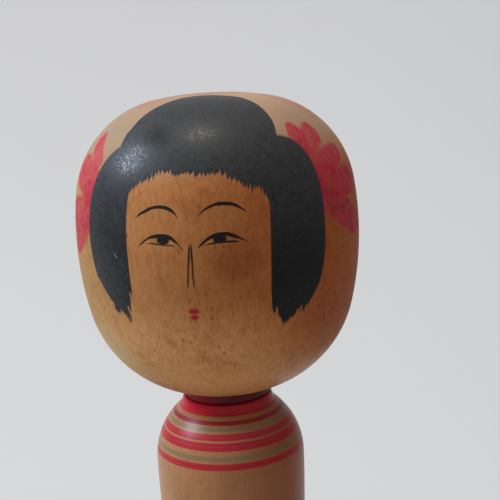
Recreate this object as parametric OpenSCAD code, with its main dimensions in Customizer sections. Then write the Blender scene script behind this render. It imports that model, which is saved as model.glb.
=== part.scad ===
// Kokeshi doll, turned in two pieces: a head whose neck ends in a swollen tenon,
// and a body with the socket that the tenon snaps into, so that the head turns.
// Origin at the centre of the foot, +Z up, the face looks along -Y. Millimetres.

/* [Head] */
// Diameter of the head at its widest level
head_d = 78; // [72:1:84]
// Height of the crown above the widest level
crown_h = 37.7; // [35:0.1:40]
// Depth of the chin below the widest level
chin_h = 45.8; // [43:0.1:49]
// Radius of the flat curve across the crown
crown_r = 88; // [75:1:110]
// Radius of the round between the crown and the sides
temple_r = 28; // [24:0.5:31]
// Radius of the long curve down the sides
side_r = 88; // [75:1:110]
// Radius of the round between the sides and the chin
jaw_r = 32; // [26:0.5:35]
// Radius of the flat curve under the chin
chin_r = 54; // [48:1:70]

/* [Neck joint] */
// Diameter of the neck under the head
neck_d = 24.4; // [22:0.1:25]
// Length of neck between the lowest point of the chin and the collar
neck_l = 1.3; // [0.8:0.1:3]
// Diameter of the tenon below the neck
tenon_d = 15; // [12:0.5:17]
// Length of the tenon below the neck
tenon_l = 22; // [18:0.5:28]
// Growth in diameter from the tenon to its swollen end
swell = 1.2; // [0.6:0.1:1.6]
// Length of the swollen end, with its two tapers
swell_l = 9; // [7:0.5:11]
// Radial clearance of the tenon in the mouth of the socket
turn_gap = 0.06; // [0.03:0.01:0.09]
// Gap between the neck and the top of the collar
seat_gap = 0.1; // [0.05:0.05:0.3]
// Clearance round the swollen end and below it
snap_gap = 0.3; // [0.2:0.05:0.5]
// Chamfer on the edges of the neck, the tenon and the mouth of the socket
edge_c = 0.4; // [0.2:0.1:0.8]

/* [Body] */
// Height of the body, from the foot to the top of the collar
body_h = 157; // [130:1:180]
// Diameter at the top of the collar
collar_d = 25.4; // [25.2:0.1:27]
// Diameter at the bottom of the collar, where it is sunk in the shoulder
collar_foot_d = 27.8; // [27:0.1:29]
// Height of the collar, with the part sunk in the shoulder
collar_h = 4; // [3:0.1:5]
// Chamfer on the rim of the collar
rim_c = 0.3; // [0.1:0.1:0.4]
// Diameter at the widest level of the shoulder
shoulder_d = 42.6; // [41:0.2:46]
// Radius of the round of the shoulder
shoulder_r = 19.8; // [19:0.1:20.4]
// Depth of the widest level of the shoulder below the top of the collar
shoulder_drop = 18.2; // [17.4:0.1:19]
// Diameter at the waist
waist_d = 40; // [36:0.2:40.8]
// Height of the waist above the foot
waist_h = 95; // [75:1:110]
// Diameter of the foot
foot_d = 56; // [48:0.5:62]

/* [Underside] */
// Chamfer round the edge of the foot
foot_c = 1.5; // [0.8:0.1:2.5]
// Width of the flat rim that the doll stands on
stand_w = 8; // [6:0.5:10]
// Depth of the hollow turned inside that rim
hollow_h = 0.8; // [0.4:0.1:1.5]
// Number of marks left by the claws of the lathe
claw_n = 4; // [3:1:6]
// Length of a claw mark
claw_l = 6; // [4:0.5:7]
// Width of a claw mark
claw_w = 1.4; // [1:0.1:2]
// Depth of a claw mark, from the hollow
claw_h = 2; // [1:0.1:3]
// Distance from the axis to the middle of a claw mark
claw_at = 8; // [6:0.5:9]

/* [Hidden] */
$fn = 96;
// Steps in each slow curve of the body
curve_steps = 12;
// A short round stands this much proud of the long curves beside it, so that they cross cleanly
lap = 0.002;
// Angle by which a short round runs on inside the long curves beside it
run_on = 4;
// How far a cutting shape runs past what it cuts
past = 1;

// Levels above the foot
neck_z = body_h + seat_gap;
head_z = neck_z + neck_l + chin_h;
shoulder_z = body_h - shoulder_drop;

// The three long arcs of the head's outline, about its widest level, and the two short ones
crown_o = [0, crown_h - crown_r];
side_o = [head_d / 2 - side_r, 0];
chin_o = [0, chin_r - chin_h];
temple_o = nested(crown_o, crown_r, side_o, side_r, temple_r);
jaw_o = nested(side_o, side_r, chin_o, chin_r, jaw_r);

// The centre of a circle of radius r that touches two larger circles from inside
function nested(o1, r1, o2, r2, r) =
    let (
        a = r1 - r,
        b = r2 - r,
        d = norm(o2 - o1),
        u = (o2 - o1) / d,
        along = (a * a - b * b + d * d) / (2 * d)
    )
    o1 + along * u + sqrt(a * a - along * along) * [u[1], -u[0]];

// The direction, seen from the head's middle, in which a short round meets a long curve
function meeting(long_o, short_o, short_r) =
    let (p = short_o + short_r * (short_o - long_o) / norm(short_o - long_o))
    atan2(p[1], p[0]);

// The part of a disc that lies between two directions from the head's middle
module bow(o, r, from, to) {
    reach = 2 * (r + norm(o));
    intersection() {
        translate(o) circle(r = r);
        polygon([[0, 0], for (a = [from, (from + to) / 2, to]) reach * [cos(a), sin(a)]]);
    }
}

// Half the section of the head, about its widest level
module head_outline() {
    crown_temple = meeting(crown_o, temple_o, temple_r);
    temple_side = meeting(side_o, temple_o, temple_r);
    side_jaw = meeting(side_o, jaw_o, jaw_r);
    jaw_chin = meeting(chin_o, jaw_o, jaw_r);
    bow(crown_o, crown_r, 90, crown_temple);
    bow(temple_o, temple_r + lap, crown_temple + run_on, temple_side - run_on);
    bow(side_o, side_r, temple_side, side_jaw);
    bow(jaw_o, jaw_r + lap, side_jaw + run_on, jaw_chin - run_on);
    bow(chin_o, chin_r, jaw_chin, -90);
}

// Half the section of the neck and its tenon, up into the chin
module tenon_outline() {
    neck_r = neck_d / 2;
    tenon_r = tenon_d / 2;
    taper = swell_l / 3;
    tip_z = neck_z - tenon_l;
    polygon([
        [0, tip_z],
        [tenon_r - edge_c, tip_z],
        [tenon_r + swell / 2, tip_z + taper],
        [tenon_r + swell / 2, tip_z + 2 * taper],
        [tenon_r, tip_z + swell_l],
        [tenon_r, neck_z],
        [neck_r - edge_c, neck_z],
        [neck_r, neck_z + edge_c],
        [neck_r, head_z - chin_h / 2],
        [0, head_z - chin_h / 2]
    ]);
}

// Half the section of the socket: an undercut for the swollen end, and a narrow mouth
module socket_outline() {
    mouth_r = tenon_d / 2 + turn_gap;
    cut_r = tenon_d / 2 + swell / 2 + snap_gap;
    taper = swell_l / 3;
    tip_z = neck_z - tenon_l;
    polygon([
        [0, tip_z - snap_gap],
        [cut_r, tip_z - snap_gap],
        [cut_r, tip_z + 2 * taper + snap_gap],
        [mouth_r, tip_z + swell_l + snap_gap],
        [mouth_r, body_h - edge_c],
        [mouth_r + edge_c + past, body_h + past],
        [0, body_h + past]
    ]);
}

// Half the section of the body below its shoulder: a waist with a slow curve above and below
module column_outline() {
    waist_r = waist_d / 2;
    upper = shoulder_d / 2 - waist_r;
    lower = foot_d / 2 - waist_r;
    polygon([
        [0, 0],
        [foot_d / 2 - foot_c, 0],
        for (i = [0 : curve_steps])
            let (t = 1 - i / curve_steps, z = waist_h * (1 - t))
            [waist_r + lower * (1 - cos(90 * t)), max(z, foot_c)],
        for (i = [1 : curve_steps])
            let (t = i / curve_steps)
            [waist_r + upper * (1 - cos(180 * t)) / 2, waist_h + (shoulder_z - waist_h) * t],
        [0, shoulder_z]
    ]);
}

// Half the section of the shoulder and the collar on it
module shoulder_outline() {
    intersection() {
        translate([shoulder_d / 2 - shoulder_r, shoulder_z]) circle(r = shoulder_r);
        translate([0, waist_h]) square([shoulder_d, body_h - collar_h / 2 - waist_h]);
    }
    polygon([
        [0, body_h - collar_h],
        [collar_foot_d / 2, body_h - collar_h],
        [collar_d / 2, body_h - rim_c],
        [collar_d / 2 - rim_c, body_h],
        [0, body_h]
    ]);
}

// The hollow in the foot, and the marks that the claws of the lathe leave in it
module underside() {
    translate([0, 0, -past]) cylinder(d = foot_d - 2 * (foot_c + stand_w), h = past + hollow_h);
    for (i = [0 : claw_n - 1])
        rotate([0, 0, (i + 0.5) * 360 / claw_n])
            translate([claw_at - claw_l / 2, -claw_w / 2, 0])
                cube([claw_l, claw_w, hollow_h + claw_h]);
}

// The head, its neck and its tenon, turned from one block
module head() {
    color("burlywood") rotate_extrude() {
        translate([0, head_z]) head_outline();
        tenon_outline();
    }
}

// The body, with the socket for the tenon
module body() {
    color("firebrick") difference() {
        rotate_extrude() {
            column_outline();
            shoulder_outline();
        }
        rotate_extrude() socket_outline();
        underside();
    }
}

head();
body();
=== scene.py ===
"""Kokeshi doll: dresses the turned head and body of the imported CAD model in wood, dye, ink and wear."""

import math

import bmesh
import bpy
from mathutils import Euler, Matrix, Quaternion, Vector
from mathutils.bvhtree import BVHTree


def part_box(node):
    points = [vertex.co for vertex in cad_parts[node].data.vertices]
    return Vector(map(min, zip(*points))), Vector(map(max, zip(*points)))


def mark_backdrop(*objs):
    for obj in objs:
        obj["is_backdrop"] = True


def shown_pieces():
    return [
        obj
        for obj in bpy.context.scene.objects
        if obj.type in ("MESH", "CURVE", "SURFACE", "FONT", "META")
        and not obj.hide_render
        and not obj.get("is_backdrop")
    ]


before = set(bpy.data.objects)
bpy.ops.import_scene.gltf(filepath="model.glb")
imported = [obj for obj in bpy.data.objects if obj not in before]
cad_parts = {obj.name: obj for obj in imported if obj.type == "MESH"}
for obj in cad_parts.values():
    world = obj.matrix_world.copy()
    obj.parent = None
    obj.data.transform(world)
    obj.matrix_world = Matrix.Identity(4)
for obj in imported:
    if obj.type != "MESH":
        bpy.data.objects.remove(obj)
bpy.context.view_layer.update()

MM = 0.001

# ---- The photograph: its size and named image points, in pixels from the top left corner ----

WIDTH = 500
HEIGHT = 500
LONG_SIDE = max(WIDTH, HEIGHT)

HEAD_LEFT_X = 74.7
HEAD_RIGHT_X = 359.1
CROWN_Y = 91.6
HEAD_MIDDLE = (218.3, 229.0)
FEATURES = {
    "left pupil": (163.3, 241.5),
    "right pupil": (220.1, 239.4),
    "left brow": (159.1, 205.8),
    "right brow": (226.7, 202.5),
    "nose": (191.0, 245.0),
    "mouth": (194.8, 314.5),
    "fringe": (199.5, 177.5),
    "left notch": (121.2, 146.1),
    "right notch": (277.1, 134.2),
    "left lock": (89.8, 209.5),
    "right lock": (326.1, 211.5),
    "left petal": (108.5, 133.2),
    "right petal": (292.5, 123.5),
    "hair nick": (114.5, 255.5),
    "cheek nick": (330.5, 239.5),
}
COLLAR_RING = (230.5, 416.3)

# ---- Sizes that come from the CAD model, in millimetres ----

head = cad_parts["head"]
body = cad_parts["body"]
HEAD_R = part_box("head")[1].x / MM
CROWN_ABOVE_WIDEST = 37.7
HEAD_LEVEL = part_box("head")[1].z / MM - CROWN_ABOVE_WIDEST
COLLAR_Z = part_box("body")[1].z / MM
FOOT_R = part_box("body")[1].x / MM


# ---- Camera ----

LENS = 65
SENSOR = 36
CAMERA_AZIMUTH = 10.0
CAMERA_ELEVATION = 8.54
CAMERA_ROLL = -3.2
CAMERA_DISTANCE = 252.2 * MM


def image_ray(camera, point):
    """The ray through an image point, in the camera's own axes."""
    across = point[0] - WIDTH / 2 + camera.data.shift_x * LONG_SIDE
    up = HEIGHT / 2 - point[1] + camera.data.shift_y * LONG_SIDE
    return Vector((across, up, -LONG_SIDE * camera.data.lens / camera.data.sensor_width))


def image_place(camera, place):
    """The image point at which a place shows."""
    seen = camera.matrix_world.inverted() @ place
    scale = LONG_SIDE * camera.data.lens / camera.data.sensor_width / -seen.z
    across = seen.x * scale + WIDTH / 2 - camera.data.shift_x * LONG_SIDE
    down = HEIGHT / 2 - seen.y * scale + camera.data.shift_y * LONG_SIDE
    return across, down


def make_camera():
    """A camera that shows the middle of the head at its image point."""
    lens = bpy.data.cameras.new("camera")
    lens.lens = LENS
    lens.sensor_width = SENSOR
    lens.sensor_fit = "AUTO"
    camera = bpy.data.objects.new("camera", lens)
    bpy.context.scene.collection.objects.link(camera)
    bpy.context.scene.camera = camera
    azimuth = math.radians(CAMERA_AZIMUTH)
    elevation = math.radians(CAMERA_ELEVATION)
    level = Euler((math.pi / 2 - elevation, 0, azimuth)).to_quaternion()
    roll = Quaternion((0, 0, 1), math.radians(CAMERA_ROLL))
    aim = image_ray(camera, HEAD_MIDDLE).rotation_difference(Vector((0, 0, -1)))
    camera.rotation_mode = "QUATERNION"
    camera.rotation_quaternion = level @ roll @ aim
    back = level @ Vector((0, 0, 1))
    camera.location = Vector((0, 0, HEAD_LEVEL * MM)) + back * CAMERA_DISTANCE
    bpy.context.view_layer.update()
    return camera


def surface(piece):
    """What a ray can meet: the piece's finished surface."""
    return BVHTree.FromObject(piece, bpy.context.evaluated_depsgraph_get())


def place_on(camera, carrier, point):
    """The place on a surface in view at an image point, or the one nearest its ray."""
    start = camera.matrix_world.translation
    ray = camera.matrix_world.to_3x3() @ image_ray(camera, point)
    place = carrier.ray_cast(start, ray)[0]
    if place is None:
        middle = start + ray.normalized() * CAMERA_DISTANCE
        for _ in range(20):
            place = carrier.find_nearest(middle)[0]
            middle = start + ray * (place - start).dot(ray) / ray.length_squared
    return place


camera = make_camera()
head_surface = surface(head)
body_surface = surface(body)


def on_head(name):
    """(across, forward, height) of a feature in mm, from the middle of the head's widest level."""
    place = place_on(camera, head_surface, FEATURES[name])
    return Vector((place.x / MM, -place.y / MM, place.z / MM - HEAD_LEVEL))


def unrolled(place):
    """(along, height) of a place on the head, along being its way round at the widest radius."""
    return math.atan2(place.x, place.y) * HEAD_R, place.z


seen = {name: on_head(name) for name in FEATURES}
ring_depth = COLLAR_Z - place_on(camera, body_surface, COLLAR_RING).z / MM


# ---- Shader maths ----


class Value:
    """A number or colour that varies over a surface. Sums with it add Math nodes."""

    def __init__(self, finish, socket):
        self.finish = finish
        self.socket = socket

    def __getitem__(self, name):
        return Value(self.finish, self.socket.node.outputs[name])

    def maths(self, operation, *others):
        sockets = dict(enumerate((self, *others)))
        return self.finish.node("ShaderNodeMath", {"operation": operation}, sockets)

    def __add__(self, other):
        return self.maths("ADD", other)

    __radd__ = __add__

    def __sub__(self, other):
        return self.maths("SUBTRACT", other)

    def __rsub__(self, other):
        sockets = {0: other, 1: self}
        return self.finish.node("ShaderNodeMath", {"operation": "SUBTRACT"}, sockets)

    def __mul__(self, other):
        return self.maths("MULTIPLY", other)

    __rmul__ = __mul__

    def __truediv__(self, other):
        return self.maths("DIVIDE", other)

    def __pow__(self, other):
        return self.maths("POWER", other)

    def __abs__(self):
        return self.maths("ABSOLUTE")

    def __mod__(self, other):
        return self.maths("FLOORED_MODULO", other)

    def least(self, other):
        return self.maths("MINIMUM", other)

    def most(self, other):
        return self.maths("MAXIMUM", other)

    def rise(self, low, high):
        """0 below low, 1 above high, smooth between."""
        settings = {"interpolation_type": "SMOOTHSTEP"}
        return self.finish.node("ShaderNodeMapRange", settings, {0: self, 1: low, 2: high})

    def edge(self, soft):
        """1 inside a shape whose outline is at 0, with a soft edge."""
        return self.rise(-soft, soft)


class Finish:
    """The nodes of a material, or of the room's light."""

    def __init__(self, owner, shader="Principled BSDF", place="Object"):
        owner.use_nodes = True
        self.owner = owner
        self.tree = owner.node_tree
        self.shader = self.tree.nodes[shader]
        place = self.node("ShaderNodeTexCoord", {}, {})[place]
        axes = self.node("ShaderNodeSeparateXYZ", {}, {0: place})
        self.place = place
        self.across = axes["X"] / MM
        self.forward = axes["Y"] / -MM
        self.up = axes["Z"] / MM

    def node(self, kind, settings, sockets):
        """Adds a node: its settings first, then the values or links of its sockets."""
        node = self.tree.nodes.new(kind)
        for name, setting in settings.items():
            if name == "outlines":
                draw_outlines(node.mapping, setting)
            elif name == "stops":
                set_stops(node.color_ramp, setting)
            else:
                setattr(node, name, setting)
        for name, value in sockets.items():
            if isinstance(value, Value):
                self.tree.links.new(value.socket, node.inputs[name])
            else:
                node.inputs[name].default_value = value
        shown = [output for output in node.outputs if output.enabled]
        return Value(self, shown[0])

    def mix(self, base, over, amount, blend="MIX"):
        """Lays one colour over another."""
        settings = {"data_type": "RGBA", "blend_type": blend}
        return self.node("ShaderNodeMix", settings, {0: amount, 6: base, 7: over})

    def stretched(self, x, y, z):
        """The place, scaled along each axis, per millimetre."""
        scale = (x / MM, y / MM, z / MM)
        return self.node("ShaderNodeMapping", {}, {"Vector": self.place, "Scale": scale})

    def noise(self, x, y, z, detail=2.0, roughness=0.5):
        """Cloudy noise, as stretched."""
        sockets = {"Vector": self.stretched(x, y, z), "Scale": 1.0}
        sockets |= {"Detail": detail, "Roughness": roughness}
        return self.node("ShaderNodeTexNoise", {}, sockets)

    def line_noise(self, along, detail=2.0, roughness=0.5):
        """Noise along one line."""
        settings = {"noise_dimensions": "1D"}
        sockets = {"W": along, "Scale": 1.0, "Detail": detail, "Roughness": roughness}
        return self.node("ShaderNodeTexNoise", settings, sockets)

    def outlines(self, along, start, end, low, high, *lines):
        """Reads up to three drawn lines of (along, height) points at once."""
        drawn = []
        for line in lines:
            drawn.append([((x - start) / (end - start), (y - low) / (high - low)) for x, y in line])
        reach = (along - start) / (end - start)
        read = self.node("ShaderNodeRGBCurve", {"outlines": drawn}, {"Color": reach})
        parts = self.node("ShaderNodeSeparateColor", {}, {0: read})
        heights = []
        for name in ("Red", "Green", "Blue")[: len(lines)]:
            heights.append(parts[name] * (high - low) + low)
        return heights

    def wear(self, **inputs):
        """Sets or links the shader's own sockets."""
        for name, value in inputs.items():
            socket = self.shader.inputs[name.replace("_", " ")]
            if isinstance(value, Value):
                self.tree.links.new(value.socket, socket)
            else:
                socket.default_value = value


def draw_outlines(mapping, lines):
    """Draws each line of points in 0 to 1 on its own curve."""
    mapping.extend = "HORIZONTAL"
    for curve, line in zip(mapping.curves, lines):
        for x, y in line[2:]:
            curve.points.new(x, y)
        ordered = sorted(curve.points, key=lambda point: point.location.x)
        for point, place in zip(ordered, line):
            point.location = place
            point.handle_type = "AUTO_CLAMPED"
    mapping.update()


def set_stops(ramp, stops):
    """Sets a ramp's steps, each at its place with its colour."""
    ramp.interpolation = "CONSTANT"
    while len(ramp.elements) > 1:
        ramp.elements.remove(ramp.elements[-1])
    ramp.elements[0].position = stops[0][0]
    ramp.elements[0].color = stops[0][1]
    for place, colour in stops[1:]:
        ramp.elements.new(place).color = colour


def oval(x, z, centre, half_wide, half_high):
    """How far inside an oval a place is, in mm."""
    across = abs(x - centre[0]) / half_wide
    up = abs(z - centre[1]) / half_high
    reach = (across * across + up * up) ** 0.5
    return (1 - reach) * min(half_wide, half_high)


def stroke(x, z, start, end):
    """(way along from 0 to 1, distance beside) a straight stroke, in mm."""
    long, high = end[0] - start[0], end[1] - start[1]
    length = math.hypot(long, high)
    long, high = long / length, high / length
    from_x, from_z = x - start[0], z - start[1]
    along = (from_x * long + from_z * high) / length
    beside = abs(from_x * -high + from_z * long)
    return along, beside


# ---- Wood ----

WOOD = (0.50, 0.205, 0.062, 1)
WOOD_DEEP = (0.38, 0.095, 0.016, 1)
# Painted light from below, laid low on the face.
WOOD_LIT_BELOW = (0.76, 0.385, 0.138, 1)
# Painted light: the paler, greyer wood of the lit left side.
WOOD_LIT_PALE = (0.475, 0.28, 0.10, 1)
# Paler, greyer wood for the crown, and a darker one for its left.
CROWN_GREY = (0.43, 0.30, 0.20, 1)
CROWN_GREY_LEFT = (0.31, 0.235, 0.16, 1)
# Painted sheen on the left of the jaw.
SHEEN_PALE = (0.62, 0.47, 0.25, 1)
# A stain colour, also laid on as painted shade at the right of the jaw and the body.
STAIN_AND_SHADE = (0.62, 0.42, 0.30, 1)
FLECK = (0.56, 0.32, 0.21, 1)
WAX_SHEEN = 0.21


def specks(finish, across, up, clear):
    """Small marks at that many cells per mm, in the cells left over from the clear share."""
    cells = {"Vector": finish.stretched(across, across, up), "Scale": 1.0, "Randomness": 1.0}
    mark = finish.node("ShaderNodeTexVoronoi", {}, cells)
    chance = finish.node("ShaderNodeSeparateColor", {}, {0: mark["Color"]})["Red"]
    return (0.24 - mark["Distance"]).edge(0.12) * chance.rise(clear, clear + 0.1)


def turned_wood(finish, lit_side, light, shade_side, marked):
    """Honey-coloured wood, its grain up the doll: greyed and lightened as painted light, or deepened as
    painted shade, where those are 1, and with more or fewer flecks where marked is above or below 0."""
    cloud = (finish.noise(0.06, 0.06, 0.04, 4.0, 0.6) - 0.5) * 0.6
    # Painted shade where the shaded side is 1, on top of the wood's own cloudy tone.
    wood = finish.mix(WOOD, WOOD_DEEP, (shade_side + cloud).most(0.0).least(1.0))
    # Painted light where light is 1.
    wood = finish.mix(wood, WOOD_LIT_BELOW, light)
    # Painted light: paler and greyer on the lit side.
    wood = finish.mix(wood, WOOD_LIT_PALE, lit_side)
    patch = finish.noise(0.11, 0.11, 0.08, 4.0, 0.65).rise(0.50, 0.72)
    mottle = finish.noise(0.9, 0.9, 0.45, 4.0, 0.7).rise(0.36, 0.68)
    fibre = finish.noise(2.6, 2.6, 0.10, 3.0, 0.65).rise(0.36, 0.68)
    stained = patch * 0.42 + mottle * 0.36 + fibre * 0.28 - 0.05
    wood = finish.mix(wood, STAIN_AND_SHADE, stained, "MULTIPLY")
    crowd = (finish.noise(0.06, 0.06, 0.05, 2.0) + marked).rise(0.38, 0.60)
    dashes = specks(finish, 1.0, 0.36, 0.66) * (crowd * 0.9 + 0.1)
    wood = finish.mix(wood, FLECK, dashes, "MULTIPLY")
    dots = specks(finish, 1.7, 1.3, 0.74) * (crowd * 0.8 + 0.2)
    return finish.mix(wood, FLECK, dots, "MULTIPLY")


# ---- Head ----

INK = (0.0048, 0.0048, 0.0055, 1)
DYE = (0.48, 0.010, 0.050, 1)
THICK_DYE = (0.28, 0.006, 0.020, 1)
# The neck's red: dark as a painted shadow under the head, brighter at the left as painted light.
NECK_SHADE_RED = (0.11, 0.011, 0.016, 1)
NECK_LIT_RED = (0.34, 0.012, 0.026, 1)
LIP = (0.42, 0.010, 0.022, 1)
# A dull film of worn ink, which also carries a painted sheen.
INK_FILM_AND_SHEEN = (0.034, 0.035, 0.038, 1)
DUST = (0.22, 0.22, 0.21, 1)
NECK_REACH = 12.5
CHIN_DEPTH = 40.0


def brush_hairs(finish, along):
    """Pointed tips of hairs side by side, each of its own length, 1 or so apart."""
    comb = {"W": along, "Scale": 1.0, "Randomness": 1.0}
    hairs = finish.node("ShaderNodeTexVoronoi", {"voronoi_dimensions": "1D"}, comb)
    length = finish.node("ShaderNodeSeparateColor", {}, {0: hairs["Color"]})["Red"]
    return (0.5 - hairs["Distance"]) * (0.5 + 2.3 * length)


def nick(x, z, start, end, half_wide):
    """A short thin stroke that fades at its ends."""
    along, beside = stroke(x, z, start, end)
    return (half_wide - beside).edge(0.1) * (0.5 - abs(along - 0.5)).rise(0.0, 0.2)


# The lists of points from here to the petals, and the shoulder's rings, were taken from the
# photograph by eye: some read off flattened pictures of it with a millimetre grid, the others picked
# as image positions and turned into millimetres by scratch scripts.


def hair_dome(finish, x, forward, z):
    """The crown of the hair, which bulges over the brow between its two notches."""
    middle = (seen["left notch"].x + seen["right notch"].x) / 2
    [dome_edge] = finish.outlines(x - middle, -24, 24, 0, 60, [
        (-22.0, 60), (-20.4, 34), (-19.9, 28.0), (-18.4, 25.1), (-16.9, 23.7), (-15.2, 21.6),
        (-12.8, 19.3), (-9.2, 16.3), (-4.7, 12.4), (-0.6, 11.5), (4.8, 12.2), (7.7, 13.1),
        (11.0, 14.9), (13.9, 17.0), (15.6, 18.7), (17.1, 20.4), (18.2, 22.0), (18.9, 23.8),
        (19.4, 25.5), (19.8, 34), (21.5, 60),
    ])
    return (forward - dome_edge).least(z - 10.0)


def hair_locks(finish, x, z):
    """A lock down each cheek, frayed at its lower end."""
    left, right = seen["left lock"], seen["right lock"]
    left_lock = oval(x, z, (left.x + 13.5, left.z - 6.0), 14.0, 22.5)
    squareness = 2.3
    lock_x = abs(x - (right.x - 12.9)) / 12.6
    lock_z = abs(z - (right.z - 3.6)) / 23.2
    right_lock = (1 - (lock_x ** squareness + lock_z ** squareness) ** (1 / squareness)) * 12.6
    left_end, right_end = finish.outlines(
        abs(x), 14, 34, -24, -6,
        [(14.0, -20.0), (16.2, -19.5), (17.4, -18.6), (18.4, -17.2), (19.2, -16.3), (20.2, -15.8),
         (21.2, -16.6), (22.4, -13.8), (24.8, -10.1), (26.1, -7.9), (28.0, -6.0)],
        [(14.0, -14.8), (17.8, -16.0), (18.5, -16.6), (19.2, -16.8), (19.9, -18.6), (20.3, -19.6),
         (21.7, -18.9), (22.8, -18.3), (23.9, -17.4), (24.9, -17.2), (26.0, -15.9), (27.0, -14.5),
         (29.0, -10.9), (32.0, -6.0)],
    )
    strand = brush_hairs(finish, x * 2.6 + 40.0) + brush_hairs(finish, x * 5.4) * 0.4
    frayed = (strand - 0.9) * 0.9
    left_lock = left_lock.least((z - left_end + frayed * (25.0 - abs(x)).rise(0.0, 4.0)) * 0.6)
    right_lock = right_lock.least((z - right_end + frayed * (28.0 - abs(x)).rise(0.0, 3.0)) * 0.6)
    return left_lock.most(right_lock)


def face_window(finish, x, z):
    """The bare face inside the hair, under the brushed tips of the fringe."""
    fringe = seen["fringe"]
    from_x = x - fringe.x
    [fringe_line] = finish.outlines(from_x, -20, 18, -8, 4, [
        (-18.0, -3.2), (-15.7, -1.7), (-14.7, -1.0), (-11.7, 0.0), (-9.7, 1.3), (-6.7, 1.2),
        (-5.7, 0.6), (-2.7, 0.9), (-0.7, 0.4), (2.3, 0.7), (5.8, 0.3), (7.3, -1.0),
        (9.8, -2.0), (10.5, -2.7), (13.8, -3.2), (15.1, -4.5),
    ])
    left_side, right_side = finish.outlines(
        z - fringe.z, -40, 0, -24, 20,
        [(-37.0, -20.4), (-35.5, -20.2), (-30.5, -19.7), (-27.0, -19.0), (-23.0, -19.1),
         (-16.0, -19.2), (-10.0, -19.0), (-5.0, -18.4), (-3.2, -18.0)],
        [(-37.3, 17.3), (-34.0, 16.0), (-33.0, 15.5), (-26.0, 15.6), (-18.0, 15.9),
         (-10.0, 16.0), (-7.0, 15.9), (-4.5, 15.1), (-3.2, 14.6)],
    )
    hair_tip = brush_hairs(finish, x * 1.75) * (0.95 + 0.7 * from_x.rise(7.0, 13.0))
    hair_tip = hair_tip + brush_hairs(finish, x * 4.6 + 9.0) * 0.3
    loose = brush_hairs(finish, x * 3.0) * (0 - z).rise(7.0, 15.0) * 0.6
    window = (fringe.z + fringe_line - hair_tip + 0.5 - z).least(from_x - left_side - loose)
    return window.least(right_side - from_x - loose)


# Slits between the hairs of the locks' ends: start, end and half width.
SLITS = [
    ((-17.0, -9.5), (-16.4, -13.8), 0.16),
    ((-18.1, -13.4), (-17.1, -16.2), 0.16),
    ((19.2, -14.4), (18.9, -18.2), 0.22),
    ((25.0, -15.2), (23.9, -17.8), 0.20),
    ((24.1, -15.9), (23.2, -18.0), 0.20),
]


def hair_mask(finish, x, forward, z):
    """The bobbed hair, round the face's window."""
    hair = hair_dome(finish, x, forward, z).most(hair_locks(finish, x, z))
    hair = hair.least(0 - face_window(finish, x, z)).least(forward - 2.0).edge(0.16)
    slits = 0.0
    for start, end, half_wide in SLITS:
        slits = nick(x, z, start, end, half_wide).most(slits)
    return hair * (1 - slits)


def brush_line(finish, x, z, at, upper, lower):
    """A brush line between its drawn upper and lower edges, about its image point."""
    across, height = x - at.x, z - at.z
    top, bottom = finish.outlines(across, -8, 8, -4, 3, upper, lower)
    within = (across - upper[0][0]).least(upper[-1][0] - across)
    return (top - height).least(height - bottom).edge(0.09) * within.edge(0.1)


def brows_mask(finish, x, z):
    """Two thin arched brows."""
    left = brush_line(
        finish, x, z, seen["left brow"],
        [(-6.7, -3.1), (-5.0, -1.6), (-3.7, -0.9), (-2.7, -0.4), (-1.2, 0.0), (-0.2, 0.1),
         (1.3, 0.0), (2.3, -0.3), (3.3, -1.0), (4.4, -2.6), (4.8, -3.3)],
        [(-6.7, -3.1), (-4.7, -2.1), (-3.7, -1.7), (-2.7, -1.2), (-1.7, -0.85), (-0.2, -0.7),
         (1.3, -0.9), (2.3, -1.3), (3.3, -1.8), (4.4, -2.9), (4.8, -3.3)],
    )
    right = brush_line(
        finish, x, z, seen["right brow"],
        [(-7.2, -2.9), (-6.0, -1.8), (-4.9, -0.9), (-3.9, -0.4), (-2.9, 0.0), (-1.4, 0.3),
         (0.1, 0.2), (1.1, 0.0), (2.1, -0.4), (3.1, -1.1), (4.1, -2.0), (4.6, -2.6)],
        [(-7.2, -2.9), (-6.1, -2.3), (-4.9, -1.5), (-3.9, -1.1), (-2.9, -0.7), (-1.9, -0.6),
         (0.1, -0.7), (1.1, -0.8), (2.1, -1.2), (3.1, -1.7), (4.1, -2.3), (4.6, -2.6)],
    )
    return left.most(right)


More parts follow.
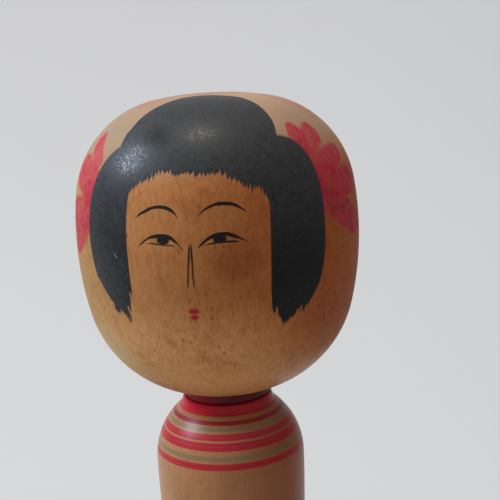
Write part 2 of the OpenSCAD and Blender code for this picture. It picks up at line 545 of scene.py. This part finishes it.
def eyes_mask(finish, x, z):
    """Two narrow eyes: a lid line, a pupil under it and a thin lower line."""
    left, right = seen["left pupil"], seen["right pupil"]
    left_lid = brush_line(
        finish, x, z, left,
        [(-7.1, -1.6), (-5.3, 0.0), (-4.3, 0.7), (-3.3, 1.3), (-2.3, 1.6), (-0.8, 1.8),
         (0.7, 1.7), (1.7, 1.4), (2.7, 0.6), (3.4, -0.2), (4.4, -1.6), (5.0, -2.6)],
        [(-7.1, -1.6), (-5.3, -0.5), (-4.3, 0.2), (-3.3, 0.6), (-1.8, 0.7), (0.2, 0.6),
         (1.7, 0.3), (2.9, -0.4), (3.7, -1.0), (4.4, -2.0), (5.0, -2.6)],
    )
    right_lid = brush_line(
        finish, x, z, right,
        [(-5.6, -1.9), (-4.6, -0.8), (-3.5, 0.2), (-2.5, 0.9), (-1.5, 1.4), (0.0, 1.7),
         (1.5, 1.7), (2.5, 1.4), (3.5, 1.0), (4.5, 0.4), (5.6, -0.4), (6.8, -1.4)],
        [(-5.6, -1.9), (-4.5, -1.4), (-3.5, -0.6), (-2.5, 0.0), (-1.0, 0.5), (1.5, 0.7),
         (2.5, 0.4), (3.5, 0.1), (4.5, -0.2), (5.6, -0.7), (6.8, -1.4)],
    )
    pupils = oval(x, z, (left.x - 0.1, left.z + 0.25), 1.6, 1.05)
    pupils = pupils.most(oval(x, z, (right.x - 0.1, right.z + 0.1), 1.6, 1.1))
    left_lower = brush_line(
        finish, x, z, left,
        [(-4.4, -0.5), (-2.3, -0.4), (-0.8, -0.7), (0.7, -0.8), (2.0, -0.9), (2.9, -1.2)],
        [(-4.4, -0.6), (-2.3, -0.8), (-0.8, -1.0), (0.7, -1.1), (2.0, -1.2), (2.9, -1.3)],
    )
    right_lower = brush_line(
        finish, x, z, right,
        [(-3.9, -1.2), (-2.0, -0.7), (0.0, -0.5), (1.5, -0.4), (3.0, -0.4), (4.6, -0.9)],
        [(-3.9, -1.3), (-2.0, -1.1), (0.0, -0.9), (1.5, -0.9), (3.0, -0.9), (4.6, -1.0)],
    )
    lines = left_lid.most(right_lid).most(left_lower).most(right_lower)
    return lines.most(pupils.edge(0.12))


def nose_mask(finish, x, z):
    """Two fine lines that part a little on their way down, with a thin wash between their tops."""
    nose = seen["nose"]
    from_x, from_z = x - nose.x, z - nose.z
    left_line, right_line = finish.outlines(
        from_z, -12, 2, -3, 3,
        [(-10.4, -1.5), (-8.3, -1.25), (-6.3, -1.08), (-4.3, -0.9), (-2.3, -0.7), (0.2, -0.4)],
        [(-10.4, 0.08), (-8.3, 0.02), (-6.3, 0.0), (-4.3, 0.02), (-2.3, 0.03), (0.2, -0.05)],
    )
    ends = (from_z + 10.3).edge(0.3) * (0.9 - from_z).rise(0.0, 1.8)
    thin = 0.23 - from_z.rise(-3.0, 1.0) * 0.06
    lines = (thin - abs(from_x - left_line)).edge(0.09)
    lines = lines.most((thin - abs(from_x - right_line)).edge(0.09))
    wash = (from_x - left_line).least(right_line - from_x).edge(0.1) * from_z.rise(-6.0, -2.0)
    thinned = 0.97 - (0 - from_z).rise(3.0, 9.0) * 0.14
    return (lines * thinned).most(wash * 0.6) * ends


def mouth_mask(x, z):
    """Two small dabs of red, the upper one wider, bled a little into the wood."""
    mouth = seen["mouth"]
    upper = oval(x, z, (mouth.x - 0.1, mouth.z + 0.78), 1.25, 0.68)
    peak = oval(x, z, (mouth.x + 0.1, mouth.z + 1.5), 0.35, 0.6)
    lower = oval(x, z, (mouth.x - 0.15, mouth.z - 0.8), 0.95, 0.6)
    dabs = upper.most(lower)
    bled = (dabs.most(peak - 0.15) + 0.2).edge(0.3)
    return dabs.edge(0.28) * 0.6 + bled * 0.4


PETALS_ROUND = 11

# Each petal of the side flowers: its root and tip, (along, height) from the flower's image point,
# and its half width.
RIGHT_PETALS = [
    ((-3.8, -9.6), (-0.6, 0.3), 3.6),
    ((-4.0, -7.0), (8.8, -1.4), 3.5),
    ((-5.0, -11.4), (16.1, -7.4), 3.3),
    ((-4.0, -13.0), (9.5, -13.4), 3.4),
    ((-5.0, -15.8), (22.1, -15.0), 4.2),
    ((-5.0, -14.4), (20.9, -28.8), 4.5),
]
LEFT_PETALS = [
    ((6.1, -7.9), (-3.9, -0.4), 2.8),
    ((11.0, -14.3), (-9.9, -7.7), 5.0),
    ((12.0, -13.0), (-1.0, -15.6), 4.0),
    ((11.7, -18.0), (-16.3, -22.2), 5.4),
    ((8.7, -16.2), (-8.5, -30.4), 4.0),
]


def petal_dye(finish, along, beside, half_wide, soft):
    """A rounded brush stroke of dye, thin at its root, streaked by the brush and fullest at its tip."""
    reach = along.most(0.0).least(1.0)
    half = reach ** 0.2 * (1 - reach ** 6) ** 0.5 * half_wide
    past_ends = 1 - (0.5 - abs(along - 0.5)).rise(-0.01, 0.01)
    inside = half - beside - past_ends * half_wide
    streak = finish.line_noise(beside * 1.1 + half_wide * 9.0, 3.0, 0.7)
    thin = (1 - reach.rise(0.35, 0.85)) * 0.15 + streak.rise(0.35, 0.65) * 0.16
    return inside.edge(soft) * (1 - thin)


def flower_mask(finish, along, z, name, petals):
    """A fan of overlapping petals beside the hair."""
    tip_along, tip_z = unrolled(seen[name])
    clear = 1.0
    for root, tip, half_wide in petals:
        start = (root[0] + tip_along, root[1] + tip_z)
        end = (tip[0] + tip_along, tip[1] + tip_z)
        reach, beside = stroke(along, z, start, end)
        clear = clear * (1 - petal_dye(finish, reach, beside, half_wide, 0.5) * 0.96)
    return 1 - clear


def crown_mask(finish, radius, azimuth):
    """Broad worn strokes of dye that spread over the crown, to the sides and the back, from one ring."""
    spacing = math.tau / PETALS_ROUND
    turned = (azimuth + math.pi + spacing / 2) % spacing - spacing / 2
    reach = (radius - 7.0) / (22.0 - (0 - azimuth).rise(0.0, 0.6) * 7.0)
    petals = petal_dye(finish, reach, abs(turned) * radius, 5.6, 2.0)
    behind = abs(azimuth - 0.2).rise(0.75, 1.1)
    ring = (1.6 - abs(radius - 8.2)).edge(0.5)
    return (petals * behind * 0.24).most(ring * 0.3)


def scratches(x, along, z):
    """Pale scratches in the left lock and beside the right cheek."""
    hair_nick, cheek_nick = seen["hair nick"], unrolled(seen["cheek nick"])
    start = (hair_nick.x - 0.3, hair_nick.z + 0.6)
    end = (hair_nick.x + 0.9, hair_nick.z - 0.7)
    lock = nick(x, z, start, end, 0.11)
    right, up = cheek_nick
    long = nick(along, z, (right - 2.2, up - 0.3), (right + 4.2, up + 1.2), 0.07) * 0.5
    short = nick(along, z, (right + 4.8, up - 1.9), (right + 7.3, up - 0.6), 0.1) * 0.8
    low = nick(along, z, (right + 6.4, up - 4.4), (right + 8.9, up - 3.5), 0.09) * 0.6
    return lock.most(long).most(short).most(low)


def rubbed_dye(along, z):
    """Two scrapes down the left flower, and the thin middle of the right one."""
    side, up = unrolled(seen["left petal"])
    upper = nick(along, z, (side - 0.6, up - 13.4), (side + 0.5, up - 17.4), 0.2)
    lower = nick(along, z, (side + 0.6, up - 19.4), (side + 0.8, up - 22.0), 0.24)
    side, up = unrolled(seen["right petal"])
    thin = oval(along, z, (side + 4.2, up - 14.3), 4.0, 3.4).rise(0.0, 3.0)
    return (upper * 0.5).most(lower * 0.8).most(thin * 0.35)


class HeadFinish(Finish):
    """A finish that knows where a place is on the head, in mm from the middle of its widest level."""

    def __init__(self, owner):
        super().__init__(owner)
        self.level = self.up - HEAD_LEVEL
        self.radius = (self.across * self.across + self.forward * self.forward) ** 0.5
        self.azimuth = self.across.maths("ARCTAN2", self.forward)
        self.along = self.azimuth * HEAD_R
        self.front = self.forward.rise(0.0, 1.0)
        self.uneven = self.noise(0.5, 0.5, 0.5, 4.0, 0.65)


def head_wood(finish):
    """The bare wood: paler at the left and low on the face as painted light, with a painted sheen on the
    left of the jaw, darker at the right as painted shade, paler and greyer on the crown, stained in
    places.
    """
    x, z, front = finish.across, finish.level, finish.front
    mouth, nose = seen["mouth"], seen["nose"]
    brow, pupil = seen["right brow"], seen["right pupil"]
    # Painted light: paler towards the lit left side.
    lit_side = (0 - x).rise(8.0, 38.0) * 0.9
    # Painted light from below: lighter low on the face, less so at the right.
    light = (0 - z).rise(8.0, 26.0) * z.rise(-44.0, -33.0) * (0.9 - x.rise(0.0, 30.0) * 0.78)
    # Painted shade: deeper towards the right, except low on the chin.
    shade_side = x.rise(-10.0, 34.0) * z.rise(-38.0, -20.0)
    below_mouth = oval(x, z, (mouth.x + 2.0, mouth.z - 5.5), 11.0, 6.5).rise(0.0, 4.0)
    marked = below_mouth * 0.34 - z.rise(0.0, 12.0) * 0.2 - x.rise(8.0, 24.0) * 0.08
    beside_nose = oval(x, z, (nose.x + 5.0, nose.z - 9.0), 9.0, 9.0).rise(0.0, 4.0)
    marked = marked - (0 - z).rise(23.0, 33.0) * 0.14 - beside_nose * 0.12
    wood = turned_wood(finish, lit_side, light, shade_side, marked)
    # Painted sheen: paler low on the left of the jaw.
    jaw_sheen = (0 - x).rise(12.0, 27.0) * (0 - z).rise(17.0, 30.0)
    wood = finish.mix(wood, SHEEN_PALE, jaw_sheen * 0.55)
    # Paler and greyer on the crown, darker towards its left.
    dust = finish.mix(CROWN_GREY, CROWN_GREY_LEFT, (0 - x).rise(-12.0, 22.0))
    wood = finish.mix(wood, dust, z.rise(15.0, 29.0) * 0.8)
    cheek = oval(x, z, (pupil.x + 3.0, -2.0), 10.0, 9.0).rise(0.0, 7.0) * front
    wood = finish.mix(wood, STAIN_AND_SHADE, cheek * 0.3, "MULTIPLY")
    ruddy = oval(x, z, (pupil.x + 2.0, -2.8), 6.5, 5.0) + (finish.uneven - 0.5) * 8.0
    wood = finish.mix(wood, STAIN_AND_SHADE, ruddy.rise(-0.5, 3.5) * front * 0.4, "MULTIPLY")
    # Painted shade: darker low on the right of the jaw.
    jaw_shade = x.rise(20.0, 30.0) * (0 - z).rise(10.0, 20.0)
    wood = finish.mix(wood, STAIN_AND_SHADE, jaw_shade * 0.45, "MULTIPLY")
    bruise = oval(x, z, (brow.x - 5.4, brow.z + 3.1), 0.9, 0.6).edge(0.5) * front
    return finish.mix(wood, FLECK, bruise * 0.35, "MULTIPLY")


def dye_flowers(finish, wood):
    """Lays the red of the side flowers and the crown on the wood, thicker in blotches, more so at the
    right as painted shade.
    """
    x, z, along = finish.across, finish.level, finish.along
    flowers = flower_mask(finish, along, z, "right petal", RIGHT_PETALS)
    flowers = flowers.most(flower_mask(finish, along, z, "left petal", LEFT_PETALS)) * finish.front
    flowers = flowers.most(crown_mask(finish, finish.radius, finish.azimuth) * z.rise(20.0, 24.0))
    flowers = flowers * (0.84 + finish.uneven.rise(0.34, 0.6) * 0.16)
    rubbed_off = rubbed_dye(along, z)
    flowers = flowers * (1 - rubbed_off)
    blotch = finish.noise(0.28, 0.28, 0.28, 4.0, 0.6).rise(0.42, 0.66)
    # More thick dye towards the right as painted shade, over its random blotches.
    thick_and_shaded = blotch * (0.3 + x.rise(10.0, 36.0) * 0.6) * (28.0 - z).rise(0.0, 14.0)
    thick_and_shaded = thick_and_shaded * (1 - rubbed_off * 2.0).most(0.0)
    dye = finish.mix(DYE, THICK_DYE, thick_and_shaded)
    return finish.mix(wood, dye, flowers.most(flowers.rise(0.2, 0.6) * thick_and_shaded))


def dye_neck(finish, colour):
    """Lays red on the neck under the chin, darkened as a painted shadow under the head and brightest at
    the left as painted light.
    """
    neck = (NECK_REACH - finish.radius).edge(0.1) * (0 - finish.level).rise(CHIN_DEPTH, CHIN_DEPTH + 1.0)
    dye = finish.mix(NECK_SHADE_RED, NECK_LIT_RED, (0 - finish.across).rise(-3.0, 9.0))
    return finish.mix(colour, dye, neck)


def draw_face(finish, colour):
    """Draws the lips in red, and the brows, the eyes, the nose and one speck in ink."""
    x, z, front = finish.across, finish.level, finish.front
    pupil = seen["right pupil"]
    ink = brows_mask(finish, x, z).most(eyes_mask(finish, x, z)).most(nose_mask(finish, x, z))
    speck = oval(x, z, (pupil.x + 7.4, pupil.z), 0.2, 0.2).edge(0.12)
    colour = finish.mix(colour, LIP, mouth_mask(x, z) * front)
    return finish.mix(colour, INK, (ink * front).most(speck * front * 0.7) * 0.985)


def hair_black(finish):
    """Ink worn to a dull film that, with a painted sheen, grows over the crown and at the left, with a
    painted warm highlight above the fringe and specks of dust.
    """
    x, z, fringe = finish.across, finish.level, seen["fringe"]
    grime = finish.noise(1.7, 1.7, 1.1, 4.0, 0.75).rise(0.32, 0.72)
    # The worn film grows with a painted sheen towards the top and the left.
    worn = z.rise(-8.0, 16.0).most((0 - x).rise(8.0, 26.0) * 0.6)
    film = worn * (0.35 + finish.uneven.rise(0.3, 0.7) * 0.5 + grime * 0.7)
    smudge = oval(x, z, (-8.4, 27.3), 3.6, 2.6) + (finish.uneven - 0.5) * 6.0
    film = film * (1 - smudge.rise(-1.4, 2.2))
    # A painted warm highlight on the hair above the fringe.
    warm_highlight = oval(x, z, (fringe.x + 1.0, fringe.z + 8.5), 7.0, 5.0).rise(0.0, 4.0)
    black = finish.mix(INK, INK_FILM_AND_SHEEN, (film + warm_highlight * 0.4 * grime))
    return finish.mix(black, DUST, specks(finish, 1.9, 1.9, 0.93) * 0.45)


def head_shine(finish, hair):
    """Where the wax shines: in specks on the hair, and along the right of the jaw."""
    x, z = finish.across, finish.level
    sparkle = finish.noise(1.9, 1.9, 1.9, 2.0, 0.5).rise(0.50, 0.62) * hair
    dulled = oval(x, z, (-14.4, 22.0), 3.0, 2.2).rise(-1.0, 1.5) * 0.6
    sparkle = sparkle * (1 - dulled) * (0.46 - x.rise(-17.0, -8.0) * 0.34)
    polish = x.rise(6.0, 20.0) * (0 - z).rise(28.0, 37.0)
    return 0.03 * hair + sparkle + polish * 0.3


def head_finish():
    """Wood, dyed flowers and neck, an inked face and black hair, all under old wax."""
    finish = HeadFinish(bpy.data.materials.new("painted head"))
    hair = hair_mask(finish, finish.across, finish.forward, finish.level)
    colour = dye_flowers(finish, head_wood(finish))
    colour = dye_neck(finish, colour)
    colour = draw_face(finish, colour)
    colour = finish.mix(colour, hair_black(finish), hair)
    marks = scratches(finish.across, finish.along, finish.level) * finish.front
    colour = finish.mix(colour, DUST, marks * 0.8)
    gloss = 0.55 - hair * 0.13 + finish.uneven.rise(0.3, 0.7) * 0.14
    finish.wear(Base_Color=colour, Roughness=gloss, Coat_Weight=head_shine(finish, hair))
    finish.wear(Coat_Roughness=0.2, Specular_IOR_Level=WAX_SHEEN)
    height = finish.noise(0.9, 0.9, 0.12, 3.0) * 0.3 + hair * 0.6
    bump = {"Height": height, "Strength": 0.15, "Distance": 0.2 * MM}
    finish.wear(Normal=finish.node("ShaderNodeBump", {}, bump))
    return finish.owner


# ---- Body ----

RED = (0.46, 0.011, 0.030, 1)
# Brighter red for the painted light on the collar's left.
BRIGHT_RED = (0.74, 0.016, 0.042, 1)
CRIMSON = (0.30, 0.016, 0.030, 1)
GREEN = (0.26, 0.17, 0.085, 1)
LEAF = (0.075, 0.095, 0.035, 1)
BODY_WOOD = (0.42, 0.21, 0.105, 1)

BARE, RED_RING, CRIMSON_RING, GREEN_RING = (0, 0, 0, 1), (1, 0, 0, 1), (0, 1, 0, 1), (0, 0, 1, 1)

# Where each ring of dye starts: below the collar's foot, and above the floor.
SHOULDER_RINGS = [
    (0.0, BARE), (0.96, CRIMSON_RING), (1.82, BARE), (2.26, GREEN_RING), (3.19, BARE),
    (3.71, RED_RING), (5.25, BARE), (5.75, RED_RING), (7.7, BARE), (9.0, GREEN_RING),
    (10.2, BARE), (10.9, RED_RING), (12.6, BARE),
]
FOOT_RINGS = [
    (0.0, RED_RING), (4.0, BARE), (4.8, GREEN_RING), (6.6, BARE), (7.2, RED_RING),
    (9.6, BARE), (10.4, CRIMSON_RING), (11.4, BARE),
]
SHOULDER_RINGS_END = 30.0
FOOT_RINGS_END = 20.0

FLOWERS = 3
FLOWERS_APART = 36.0
FLOWERS_FROM = 19.0


def rings(finish, depth, reach, steps):
    """Amounts of red, crimson and green at a depth, from (depth, ring) steps down to reach."""
    stops = [(place / reach, ring) for place, ring in steps]
    ramp = finish.node("ShaderNodeValToRGB", {"stops": stops}, {0: depth / reach})
    return finish.node("ShaderNodeSeparateColor", {}, {0: ramp["Color"]})


def body_flowers(finish):
    """Simple chrysanthemums, one above the other down the front, with a leaf to each side."""
    turned_r, eye_up = 20.5, 16.5
    along = finish.across.maths("ARCTAN2", finish.forward) * turned_r
    up = (finish.up - FLOWERS_FROM) % FLOWERS_APART - eye_up
    angle = along.maths("ARCTAN2", up)
    radius = (along * along + up * up) ** 0.5
    spacing = math.tau / PETALS_ROUND
    turned = (angle + math.pi) % spacing - spacing / 2
    reach = (radius - 2.0) / (15.0 - abs(angle) * 2.2)
    petals = petal_dye(finish, reach, abs(turned) * radius, 2.6, 0.3)
    eye = (1.3 - radius).edge(0.2)
    way, beside = stroke(abs(along), up, (4.0, -9.0), (17.5, -5.0))
    leaves = petal_dye(finish, way, beside, 2.0, 0.3)
    top = FLOWERS_FROM + FLOWERS * FLOWERS_APART
    field = (finish.up - FLOWERS_FROM).rise(0.0, 0.5) * (top - finish.up).rise(0.0, 0.5)
    field = field * finish.forward.rise(0.0, 1.0)
    return petals.most(eye) * field, leaves * field


def body_finish():
    """Wood with rings of dye laid on while the body turned, paler at the left and with brighter red on
    the collar's left as painted light, and darker at the right as painted shade.
    """
    finish = Finish(bpy.data.materials.new("ringed body"))
    x = finish.across
    depth = COLLAR_Z - finish.up
    wander = (finish.noise(0.06, 0.06, 0.06, 2.0) - 0.5) * 0.16
    steps = [(0.0, RED_RING)] + [(ring_depth + down, ring) for down, ring in SHOULDER_RINGS]
    shoulder = rings(finish, depth + wander, SHOULDER_RINGS_END, steps)
    foot = rings(finish, finish.up + wander, FOOT_RINGS_END, FOOT_RINGS)
    streak = finish.line_noise(depth * 2.4, 2.0, 0.6)
    # Painted light paler at the left, painted shade deeper at the right.
    colour = turned_wood(finish, (0 - x).rise(4.0, 22.0) * 0.5, 0.0, x.rise(-8.0, 20.0), 0.0)
    colour = finish.mix(colour, BODY_WOOD, 0.5)
    radius = (x * x + finish.forward * finish.forward) ** 0.5
    outside = (radius - FOOT_R + 1.4).edge(0.1).most(finish.up.rise(1.2, 1.6))
    for name, dye in (("Red", RED), ("Green", CRIMSON), ("Blue", GREEN)):
        amount = shoulder[name] + foot[name] * outside
        colour = finish.mix(colour, dye, amount * (0.86 + streak.rise(0.3, 0.6) * 0.12))
    # Painted light: brighter red on the top of the collar, towards the left.
    lit_collar = (ring_depth - depth).edge(0.2) * (0 - x).rise(-2.0, 9.0)
    colour = finish.mix(colour, BRIGHT_RED, lit_collar)
    petals, leaves = body_flowers(finish)
    colour = finish.mix(colour, LEAF, leaves * 0.85)
    colour = finish.mix(colour, RED, petals)
    # Painted shade: darker towards the right.
    colour = finish.mix(colour, STAIN_AND_SHADE, x.rise(4.0, 20.0) * 0.8, "MULTIPLY")
    finish.wear(Base_Color=colour, Roughness=0.35, Specular_IOR_Level=WAX_SHEEN)
    return finish.owner


def dress(piece, material):
    """Gives a CAD piece its finish."""
    for slot in piece.material_slots:
        slot.material = material


dress(head, head_finish())
dress(body, body_finish())


# ---- Studio, in metres ----

FLOOR_REACH = 3.0
WALL_BEHIND = 0.8
WALL_HEIGHT = 1.2
PAPER = (0.42, 0.42, 0.42, 1)
GLOW_LEFT = (0.17, 0.15, 0.135, 1)
GLOW_RIGHT = (0.215, 0.21, 0.21, 1)
UNLIT = (0.0, 0.0, 0.0, 1)
WALLS = (0.22, 0.19, 0.16, 1)
CEILING = (0.62, 0.62, 0.62, 1)


def paper_finish():
    """Pale paper that a light of its own brightens behind the doll."""
    finish = Finish(bpy.data.materials.new("pale paper"))
    lit = (finish.forward * -MM).rise(-0.25, 0.30) * (0.35 - finish.across * MM).rise(0.0, 0.18)
    side = (finish.across * MM).rise(-0.4, 0.2)
    glow = finish.mix(GLOW_LEFT, GLOW_RIGHT, side)
    glow = finish.mix(UNLIT, glow, lit)
    finish.wear(Base_Color=PAPER, Roughness=0.9)
    finish.wear(Emission_Color=glow, Emission_Strength=1.0)
    return finish.owner


def make_sweep():
    """A pale floor that curves up into a wall behind the doll."""
    mesh = bpy.data.meshes.new("sweep")
    shape = bmesh.new()
    bmesh.ops.create_grid(shape, x_segments=1, y_segments=1, size=FLOOR_REACH)
    bmesh.ops.translate(shape, vec=(0, WALL_BEHIND - FLOOR_REACH, 0), verts=shape.verts)
    far = [edge for edge in shape.edges if all(corner.co.y > 0 for corner in edge.verts)]
    raised = bmesh.ops.extrude_edge_only(shape, edges=far)["geom"]
    corners = [part for part in raised if isinstance(part, bmesh.types.BMVert)]
    bmesh.ops.translate(shape, vec=(0, 0, WALL_HEIGHT), verts=corners)
    bmesh.ops.bevel(
        shape, geom=far, offset=WALL_BEHIND * 0.7, segments=24, profile=0.5,
        affect="EDGES", material=-1,
    )
    shape.to_mesh(mesh)
    shape.free()
    mesh.polygons.foreach_set("use_smooth", [True] * len(mesh.polygons))
    mesh.materials.append(paper_finish())
    sweep = bpy.data.objects.new("sweep", mesh)
    bpy.context.scene.collection.objects.link(sweep)
    return sweep


def make_lamp(name, azimuth, elevation, distance, size, power, colour):
    """A soft square lamp that faces the head."""
    lamp = bpy.data.lights.new(name, "AREA")
    lamp.size = size
    lamp.energy = power
    lamp.color = colour
    holder = bpy.data.objects.new(name, lamp)
    bpy.context.scene.collection.objects.link(holder)
    turn = Euler((math.radians(90 - elevation), 0, math.radians(azimuth))).to_quaternion()
    holder.rotation_mode = "QUATERNION"
    holder.rotation_quaternion = turn
    holder.location = Vector((0, 0, HEAD_LEVEL * MM)) + turn @ Vector((0, 0, distance))
    return holder


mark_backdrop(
    make_sweep(),
    make_lamp("window", -78, 38, 1.2, 0.36, 12, (0.80, 0.95, 1.17)),
    make_lamp("ceiling lamp", -36, 80, 1.3, 0.30, 6, (1.0, 0.91, 0.72)),
)


def light_room():
    """A dim warm room with a paler ceiling."""
    finish = Finish(bpy.data.worlds.new("room"), "Background", "Generated")
    ceiling = (finish.up * MM).rise(0.1, 0.9)
    finish.wear(Color=finish.mix(WALLS, CEILING, ceiling))
    bpy.context.scene.world = finish.owner


light_room()
bpy.context.scene.view_settings.view_transform = "Standard"


# ---- Records ----


def misses():
    """How far in x and y each thing shows from its image point.

    The edges are measured on the finished vertices. The middle aims the camera, and the painted
    places are found by rays through their own points, so those come back near zero by construction
    and say nothing of where the paint shows.
    """
    shown = []
    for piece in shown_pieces():
        shown += [image_place(camera, piece.matrix_world @ corner.co) for corner in piece.data.vertices]
    record = {
        "head left": [min(x for x, y in shown) - HEAD_LEFT_X, 0],
        "head right": [max(x for x, y in shown) - HEAD_RIGHT_X, 0],
        "crown": [0, min(y for x, y in shown) - CROWN_Y],
    }
    middle = image_place(camera, Vector((0, 0, HEAD_LEVEL * MM)))
    record["head middle"] = [middle[0] - HEAD_MIDDLE[0], middle[1] - HEAD_MIDDLE[1]]
    for name, place in seen.items():
        world_place = Vector((place.x * MM, -place.y * MM, (place.z + HEAD_LEVEL) * MM))
        x, y = image_place(camera, world_place)
        record[name] = [x - FEATURES[name][0], y - FEATURES[name][1]]
    ring = place_on(camera, body_surface, COLLAR_RING)
    x, y = image_place(camera, ring)
    record["collar ring"] = [x - COLLAR_RING[0], y - COLLAR_RING[1]]
    return record


misses()
